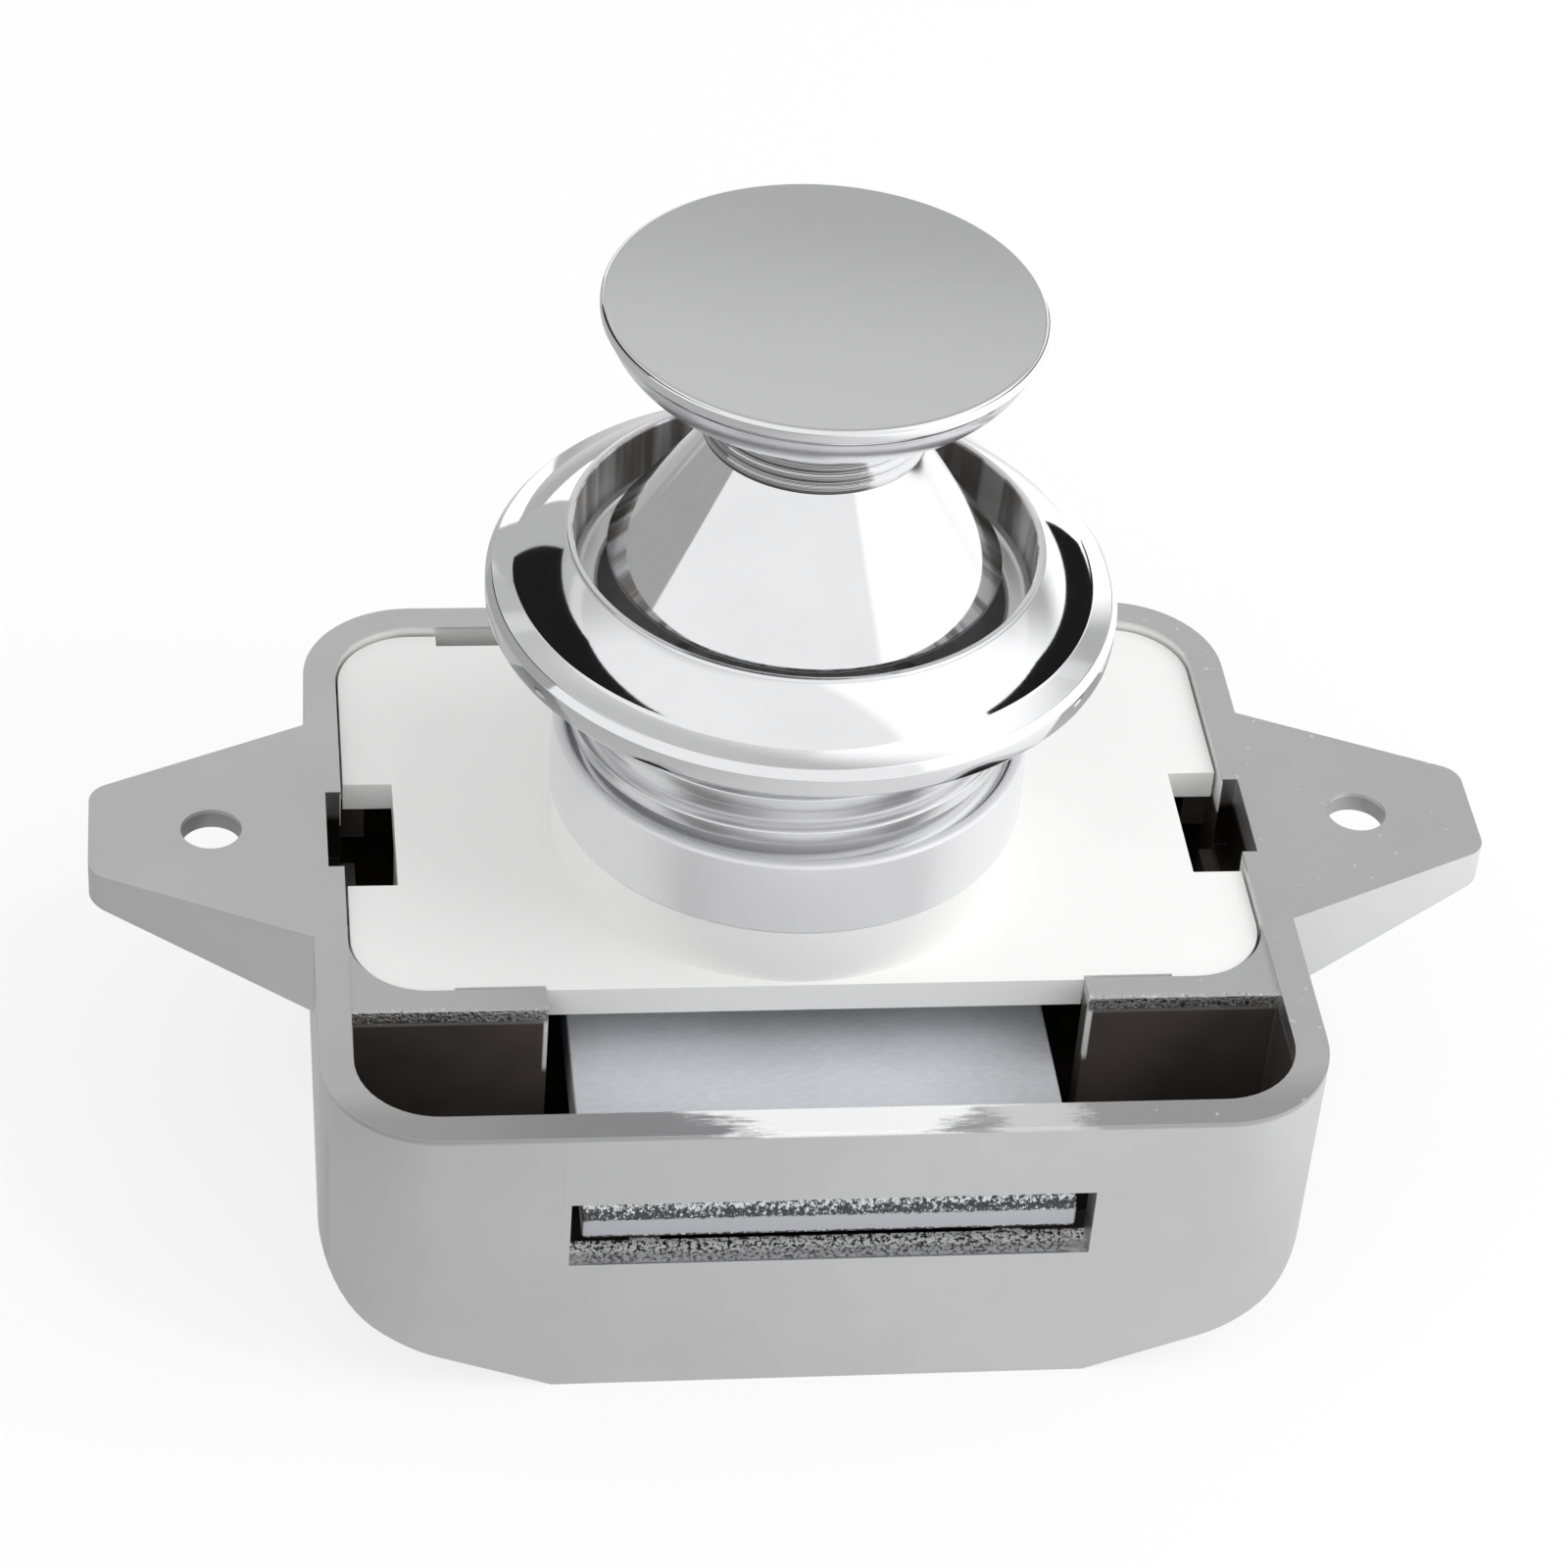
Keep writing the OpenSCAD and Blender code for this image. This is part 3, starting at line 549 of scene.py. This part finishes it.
def round_off(outline, steps=5):
    """An outline of (r, z, rounding) corners, in mm, as plain points with the corners rounded."""
    made = []
    last = len(outline) - 1
    for i, (r, z, rounding) in enumerate(outline):
        here = Vector((r, z))
        if not rounding or i in (0, last):
            made.append(here)
            continue
        to_a = Vector(outline[i - 1][:2]) - here
        to_b = Vector(outline[i + 1][:2]) - here
        half = to_a.angle(to_b) / 2
        run = min(rounding / math.tan(half), to_a.length * 0.49, to_b.length * 0.49)
        bow = run * math.tan(half)
        centre = here + (to_a.normalized() + to_b.normalized()).normalized() * (bow / math.sin(half))
        a = here + to_a.normalized() * run - centre
        b = here + to_b.normalized() * run - centre
        sweep = a.angle_signed(b)
        for k in range(steps + 1):
            made.append(centre + Matrix.Rotation(-sweep * k / steps, 2) @ a)
    return made


def bowed(a, b, rise, steps):
    """Plain corners from a to b along a shallow bow that stands out to the right of the way."""
    start, way = Vector(a), Vector(b) - Vector(a)
    out = Vector((way.y, -way.x)).normalized()
    return [(*(start + way * t + out * (4 * rise * t * (1 - t))), 0) for t in (k / steps for k in range(steps + 1))]


def chain(points):
    """A chain of edges through points, extruded one by one from the middle of a small plane in the open mesh."""
    bpy.ops.mesh.merge(type="CENTER")
    here = Vector((0, 0, 0))
    for i, there in enumerate(points):
        if i == 0:
            bpy.ops.transform.translate(value=there - here)
        else:
            bpy.ops.mesh.extrude_vertices_move(TRANSFORM_OT_translate={"value": there - here})
        here = there


def extrude_outline(name, points):
    """A new object with one chain of edges, left open in edit mode."""
    deselect()
    bpy.ops.mesh.primitive_plane_add(size=MM, location=(0, 0, 0))
    obj = bpy.context.object
    obj.name = obj.data.name = name
    edit(obj)
    chain(points)
    bpy.ops.mesh.select_all(action="SELECT")
    return obj


def beside_neck(section):
    """Points of a section of (r, z) in mm, set out beside the neck."""
    return [Vector((NECK.x + r * MM, NECK.y, z * MM)) for r, z in section]


def weigh_normals(obj):
    """Lets the normals follow the large faces, so that flat and straight parts stay flat in the light."""
    weigh = obj.modifiers.new("normals", "WEIGHTED_NORMAL")
    weigh.keep_sharp = True
    bpy.ops.object.modifier_apply(modifier=weigh.name)


def settle(obj, angle):
    """Merges doubles, turns the faces outwards and smooths the soft edges."""
    bpy.ops.mesh.select_all(action="SELECT")
    bpy.ops.mesh.remove_doubles(threshold=1e-6)
    bpy.ops.mesh.normals_make_consistent(inside=False)
    pick(obj)
    bpy.ops.object.shade_smooth_by_angle(angle=math.radians(angle))
    weigh_normals(obj)
    deselect()


def turned(name, outline, steps=180):
    """A turned piece: a closed outline of (r, z, rounding) corners in mm, spun round the neck."""
    obj = extrude_outline(name, beside_neck(round_off(outline)))
    bpy.ops.mesh.spin(steps=steps, angle=FULL_TURN, center=(NECK.x, NECK.y, 0), axis=(0, 0, 1))
    settle(obj, 40)
    return obj


def wound(name, section, pitch, turns, steps, start=0.0):
    """A closed section of (r, z) points in mm, wound up a screw round the neck from a starting turn, ends closed."""
    obj = extrude_outline(name, beside_neck(section))
    bpy.ops.mesh.edge_face_add()
    bpy.ops.mesh.delete(type="ONLY_FACE")
    pick(obj)
    bpy.context.scene.cursor.location = (NECK.x, NECK.y, 0)
    bpy.ops.object.origin_set(type="ORIGIN_CURSOR")
    winding = obj.modifiers.new("winding", "SCREW")
    winding.axis = "Z"
    winding.angle = FULL_TURN * turns
    winding.screw_offset = pitch * turns
    winding.steps = winding.render_steps = int(steps * turns)
    winding.use_merge_vertices = False
    bpy.ops.object.modifier_apply(modifier=winding.name)
    obj.rotation_euler.z = start
    bpy.ops.object.transform_apply(location=True, rotation=True, scale=True)
    bpy.context.scene.cursor.location = (0, 0, 0)
    edit(obj)
    bpy.ops.mesh.select_all(action="DESELECT")
    bpy.ops.mesh.select_non_manifold(extend=False)
    bpy.ops.mesh.fill_holes(sides=0)
    settle(obj, 50)
    return obj


def rounded_copy(node, name, edge, segments=3):
    """A copy of a CAD node with its doubles merged, its flat faces made whole and its edges rounded."""
    sharp = math.radians(35)
    pick(frame["nodes"][node])
    bpy.ops.object.duplicate()
    obj = bpy.context.object
    obj.name = obj.data.name = name
    obj.parent = None
    for key in list(obj.keys()):
        del obj[key]
    edit(obj)
    bpy.ops.mesh.remove_doubles(threshold=2e-6)
    bpy.ops.mesh.dissolve_limited(angle_limit=math.radians(0.8))
    pick(obj)
    rounding = obj.modifiers.new("edges", "BEVEL")
    rounding.width = edge
    rounding.segments = segments
    rounding.limit_method = "ANGLE"
    rounding.angle_limit = sharp
    rounding.use_clamp_overlap = True
    bpy.ops.object.modifier_apply(modifier=rounding.name)
    bpy.ops.object.shade_smooth_by_angle(angle=sharp)
    weigh_normals(obj)
    deselect()
    return obj


def dress(obj, finish):
    """Gives an object one material."""
    obj.data.materials.clear()
    obj.data.materials.append(finish)


class LOCK_OT_case(bpy.types.Operator):
    """Round the cast edges of the case and give it satin chrome"""
    bl_idname = "lock.case"
    bl_label = "Case"

    def execute(self, context):
        obj = rounded_copy("case", "case_casting", context.scene.lock_sizes.case_edge)
        dress(obj, satin_chrome(context.scene.lock_finish))
        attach(obj, "housing")
        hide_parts("case")
        return {"FINISHED"}


class LOCK_OT_plate(bpy.types.Operator):
    """Round the moulded edges of the cover plate and give it white plastic"""
    bl_idname = "lock.plate"
    bl_label = "Cover plate"

    def execute(self, context):
        obj = rounded_copy("cover_plate", "cover_moulding", context.scene.lock_sizes.plate_edge)
        dress(obj, white_plastic(context.scene.lock_finish))
        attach(obj, "housing")
        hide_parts("cover_plate")
        return {"FINISHED"}


class LOCK_OT_sleeve(bpy.types.Operator):
    """Turn the chromed neck sleeve, with a shadow groove round its foot"""
    bl_idname = "lock.sleeve"
    bl_label = "Neck sleeve"

    def execute(self, context):
        low, top = SLEEVE_LOW, SLEEVE_TOP
        middle = (low + top) / 2
        groove = SLEEVE_R - 0.25
        obj = turned("neck_tube", [
            (BORE_R, middle, 0), (BORE_R, low, 0.1), (groove, low, 0), (groove, low + 0.1, 0),
            (SLEEVE_R, low + 0.16, 0.05), (SLEEVE_R, top, 0.25), (BORE_R, top, 0.3), (BORE_R, middle, 0)])
        dress(obj, sleeve_chrome(context.scene.lock_finish))
        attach(obj, "housing")
        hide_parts("neck_sleeve")
        return {"FINISHED"}


class LOCK_OT_rosette(bpy.types.Operator):
    """Turn the rosette and wind its thread"""
    bl_idname = "lock.rosette"
    bl_label = "Rosette"

    def execute(self, context):
        sizes = context.scene.lock_sizes
        pitch = sizes.thread_pitch / MM
        top, low, out = ROSETTE_TOP, ROSETTE_LOW, FLANGE_R
        root = CREST_R - sizes.thread_deep / MM - 0.05
        bore = root - RING_WALL
        seam = low + 3
        under = top - 4.25
        edge = under + sizes.flange_edge / MM
        floor = top - 3.3
        dome = bowed((out - sizes.flange_bevel / MM, edge + 0.9), (BOWL_R + 0.46, top - 0.12), sizes.dome_rise / MM, 14)
        body = turned("rosette_ring", [
            (bore, seam, 0), (bore, low, 0.15), (root, low, 0.15), (root, under, 0.2), (out, under, 0.15),
            (out, edge, 0.14), (out - 0.34, edge + 0.44, 0.16), *dome, (BOWL_R + 0.4, top - 0.17, 0.03),
            (BOWL_R + 0.35, top, 0.12), (BOWL_R, top, 0.14), (BOWL_R - 0.1, floor, 0.5), (bore, floor, 0.3),
            (bore, seam, 0)], steps=224)
        turns = math.floor((under - low - 0.9) / pitch * 4) / 4
        start = low + 0.75
        flank = [(root - 0.15, 0.72), (root + 0.1, 0.66), (CREST_R - 0.06, 0.42), (CREST_R, 0.34)]
        ridge = [(r, start - half) for r, half in flank] + [(r, start + half) for r, half in reversed(flank)]
        thread = wound("rosette_thread", ridge, pitch * MM, turns, 96, math.radians(130))
        pick(body)
        thread.select_set(True)
        bpy.ops.object.join()
        deselect()
        dress(body, rosette_chrome(context.scene.lock_finish))
        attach(body, "rosette")
        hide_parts("rosette")
        return {"FINISHED"}


class LOCK_OT_knob(bpy.types.Operator):
    """Turn the knob: disc, dished underside, neck and hollow skirt"""
    bl_idname = "lock.knob"
    bl_label = "Knob"

    def execute(self, context):
        sizes = context.scene.lock_sizes
        top, low, out, neck = KNOB_TOP, KNOB_LOW, KNOB_R, sizes.neck_radius / MM
        edge = top - sizes.knob_band / MM
        dish = edge - sizes.dish_height / MM
        waist = dish - sizes.neck_height / MM
        collar = neck - sizes.neck_step / MM
        foot = low + 0.2
        skirt = CREST_R - 0.55 - RING_WALL - 0.34
        lining = skirt - 1.3
        mouth, roof, hole_top = waist - 3.3, waist - 1.1, waist + 4.65
        socket, hole = 4.65, 1.55
        under = bowed((out - sizes.dish_in / MM, dish), (out - 0.15, edge), sizes.dish_bow / MM, 10)[::-1]
        grooves = []
        for i in reversed(range(3)):
            middle = waist + 0.65 + 0.62 * i
            grooves += [(neck, middle + 0.24, 0.06), (neck - 0.16, middle, 0.08), (neck, middle - 0.24, 0.06)]
        obj = turned("knob_turning", [
            (0, top, 0), (out, top, sizes.knob_edge / MM), (out, edge + 0.1, 0.15), *under,
            (neck + 0.6, dish + 0.05, 0.4), (neck, dish - 0.6, 0.5), *grooves, (neck, waist, 0.1),
            (collar, waist - 0.2, 0.06), (skirt, foot, 0.2), (skirt, low, 0.08), (lining, low, 0.2),
            (lining, foot, 0.2), (6.1, mouth, 0.1), (socket, mouth, 0.1), (socket, roof, 0.1),
            (hole, roof, 0.05), (hole, hole_top, 0), (0, hole_top, 0)], steps=224)
        dress(obj, knob_chrome(context.scene.lock_finish))
        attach(obj, "knob")
        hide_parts("push_knob")
        return {"FINISHED"}


class LOCK_OT_bolt(bpy.types.Operator):
    """Round the edges of the latch bolt and give it plated zinc"""
    bl_idname = "lock.bolt"
    bl_label = "Latch bolt"

    def execute(self, context):
        obj = rounded_copy("latch_bolt", "bolt_casting", context.scene.lock_sizes.bolt_edge, segments=2)
        dress(obj, plated_zinc(context.scene.lock_finish))
        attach(obj, "bolt")
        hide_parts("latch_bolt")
        return {"FINISHED"}


class LOCK_OT_inside(bpy.types.Operator):
    """Wind the return spring and finish the pieces inside the case"""
    bl_idname = "lock.inside"
    bl_label = "Inside pieces"

    def execute(self, context):
        look = context.scene.lock_finish
        half = SPRING_WIRE / 2
        rise = (CROWN_Z - FLOOR_Z - SPRING_WIRE) / SPRING_COILS
        ring = [(SPRING_R - half + half * math.cos(a), FLOOR_Z + half * (1 + math.sin(a)))
                for a in (k * FULL_TURN / SPRING_SIDES for k in range(SPRING_SIDES))]
        spring = wound("spring_coil", ring, rise * MM, SPRING_COILS, 32)
        dress(spring, drawn_wire("spring_steel", look, 1.0))
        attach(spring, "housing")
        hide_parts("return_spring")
        press = next(j for j in frame["joints"] if j["name"] == "button_press")
        keep = 1 + press["range_m"][0] / ((CROWN_Z - FLOOR_Z) * MM)
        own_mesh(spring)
        dress(frame["nodes"]["plunger"], slider_plastic(look))
        dress(frame["nodes"]["knob_screw"], drawn_wire("screw_steel", look, 1.3))
        dress(frame["nodes"]["detent_wire"], drawn_wire("wire_steel", look, 1.0))
        return {"FINISHED"}


class LOCK_OT_studio(bpy.types.Operator):
    """Lay the floor, light the studio and set the camera"""
    bl_idname = "lock.studio"
    bl_label = "Studio"

    def execute(self, context):
        studio = context.scene.lock_studio
        context.scene.view_settings.view_transform = "Standard"
        self.lay_floor(studio)
        self.light_world(context, studio)
        self.hang_panel("key_panel", studio.key, (0.42, -0.1, 0.34))
        self.hang_panel("fill_panel", studio.fill, (-0.3, -0.42, 0.5))
        for name, shape in FLAGS.items():
            self.stand_flag(name, *shape)
        self.set_camera(context, studio)
        return {"FINISHED"}

    def lay_floor(self, studio):
        """A white floor, which metal sees as darker on the left."""
        deselect()
        bpy.ops.mesh.primitive_circle_add(vertices=96, radius=1.6, fill_type="NGON", location=(0, 0, 0))
        floor = bpy.context.object
        floor.name = "studio_floor"
        made, mix = material("studio_floor")
        x = mix.axes()[0]
        camera, glossy = mix.rays()
        matt = mix.add("ShaderNodeBsdfDiffuse", None, {"Color": (*studio.floor, 1)})
        fall = 0.44 + 0.31 * x.over(-20.0, 45.0) + 0.45 * x.over(48.0, 24.0)
        glow = mix.add("ShaderNodeEmission", None, {"Color": WHITE, "Strength": camera + glossy * fall})
        mix.close(mix.add("ShaderNodeMixShader", None, {0: camera * 0.75 + glossy * 0.9, 1: matt, 2: glow}))
        dress(floor, made)

    def light_world(self, context, studio):
        """Even light from all sides, which metal sees as a bright room with a grey ceiling."""
        world = bpy.data.worlds.new("studio_world")
        context.scene.world = world
        world.use_nodes = True
        mix = Mixture(world.node_tree)
        x, y, z = mix.split("Generated")
        turn = math.radians(39)
        bright = (x * math.cos(turn) + y * math.sin(turn)).over(0.0, 0.04)
        # grey ceiling over the back of the lock, with a lighter band low down and on its left
        ceiling = (y * 0.447 + z * 0.894).over(0.854, 0.025)
        behind = y.over(0.35, 0.2) * z.over(0.36, 0.08)
        grey = ceiling + behind * (1 - ceiling)
        level = 0.5 + 0.15 * z.within(0.5405, 0.61, 0.008) + 0.05 * z.over(0.558, 0.012) + 0.06 * x.under(0.0, 0.3)
        seen = (0.98 + 0.24 * bright) * (1 - grey) + grey * level
        camera, glossy = mix.rays()
        strength = camera + (1 - camera) * (glossy * seen + (1 - glossy) * studio.ambient)
        light = mix.add("ShaderNodeBackground", None, {"Color": WHITE, "Strength": strength})
        mix.add("ShaderNodeOutputWorld", None, {"Surface": light})

    def hang_panel(self, name, power, place):
        """A large light panel aimed at the lock, not seen in metal."""
        deselect()
        aim = Vector((0, 0, 0.03)) - Vector(place)
        bpy.ops.object.light_add(type="AREA", location=place, rotation=aim.to_track_quat("-Z", "Y").to_euler())
        panel = bpy.context.object
        panel.name = name
        panel.data.shape = "RECTANGLE"
        panel.data.size = panel.data.size_y = PANEL_SIZE
        panel.data.energy = power
        panel.visible_glossy = False

    def stand_flag(self, name, reach, turns, low, high, grey):
        """A curved flag round the lock, seen in metal only: its reach, its ends in degrees right of the back, and the
        height of its lower and its upper edge at both ends, in degrees over the level of the rosette."""
        edges = []
        for rise in (low, high):
            line = []
            for k in range(FLAG_STEPS + 1):
                turn = math.radians(turns[0] + (turns[1] - turns[0]) * k / FLAG_STEPS)
                up = math.radians(rise[0] + (rise[1] - rise[0]) * k / FLAG_STEPS)
                line.append(Vector((math.sin(turn), math.cos(turn), math.tan(up))) * reach + FLAG_LEVEL)
            edges.append(line)
        flag = extrude_outline(name, edges[0])
        bpy.ops.mesh.select_all(action="DESELECT")
        bpy.ops.mesh.primitive_plane_add(size=MM, location=(0, 0, 0))
        chain(edges[1])
        bpy.ops.mesh.select_all(action="SELECT")
        bpy.ops.mesh.bridge_edge_loops()
        deselect()
        made, mix = material(name)
        tone = mix.vary(mix.noise(3.0, 2.0), (grey,) * 3, 0.9, 1.1)
        mix.close(mix.add("ShaderNodeEmission", None, {"Color": tone, "Strength": 1.0}))
        dress(flag, made)
        flag.visible_camera = flag.visible_diffuse = flag.visible_shadow = False

    def set_camera(self, context, studio):
        """The camera, where the photograph was taken from."""
        a, e, r = studio.azimuth, studio.elevation, studio.roll
        back = Vector((math.sin(a) * math.cos(e), -math.cos(a) * math.cos(e), math.sin(e)))
        level = Vector((math.cos(a), math.sin(a), 0))
        rise = back.cross(level)
        right = math.cos(r) * level + math.sin(r) * rise
        up = math.cos(r) * rise - math.sin(r) * level
        deselect()
        bpy.ops.object.camera_add(location=studio.stand)
        camera = bpy.context.object
        camera.name = "photo_camera"
        camera.matrix_world = Matrix.Translation(studio.stand) @ Matrix((right, up, back)).transposed().to_4x4()
        camera.data.sensor_fit = "AUTO"
        camera.data.sensor_width = 36
        camera.data.lens = studio.lens
        camera.data.clip_start = 0.01
        context.scene.camera = camera
        deselect()


class LOCK_PT_panel(bpy.types.Panel):
    """Lists the settings of the lock and the steps that build it"""
    bl_idname = "LOCK_PT_panel"
    bl_label = "Pushbutton lock"
    bl_space_type = "VIEW_3D"
    bl_region_type = "UI"
    bl_category = "Lock"

    def draw(self, context):
        for group in (context.scene.lock_finish, context.scene.lock_sizes, context.scene.lock_studio):
            for key in group.__annotations__:
                self.layout.prop(group, key)
        for step in STEPS:
            self.layout.operator(step.bl_idname)


STEPS = (LOCK_OT_case, LOCK_OT_plate, LOCK_OT_sleeve, LOCK_OT_rosette, LOCK_OT_knob, LOCK_OT_bolt, LOCK_OT_inside,
         LOCK_OT_studio)
GROUPS = {"lock_finish": LOCK_PG_finish, "lock_sizes": LOCK_PG_sizes, "lock_studio": LOCK_PG_studio}


def register():
    """Adds the settings, the steps and the panel to Blender."""
    for made in (*GROUPS.values(), *STEPS, LOCK_PT_panel):
        bpy.utils.register_class(made)
    for key, made in GROUPS.items():
        setattr(bpy.types.Scene, key, bpy.props.PointerProperty(type=made))


def unregister():
    """Takes the settings, the steps and the panel away again."""
    for key in GROUPS:
        delattr(bpy.types.Scene, key)
    for made in (LOCK_PT_panel, *reversed(STEPS), *GROUPS.values()):
        bpy.utils.unregister_class(made)


def main():
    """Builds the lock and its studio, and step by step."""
    register()
    for step in STEPS:
        group, action = step.bl_idname.split(".")
        getattr(getattr(bpy.ops, group), action)()


if __name__ == "__main__":
    main()
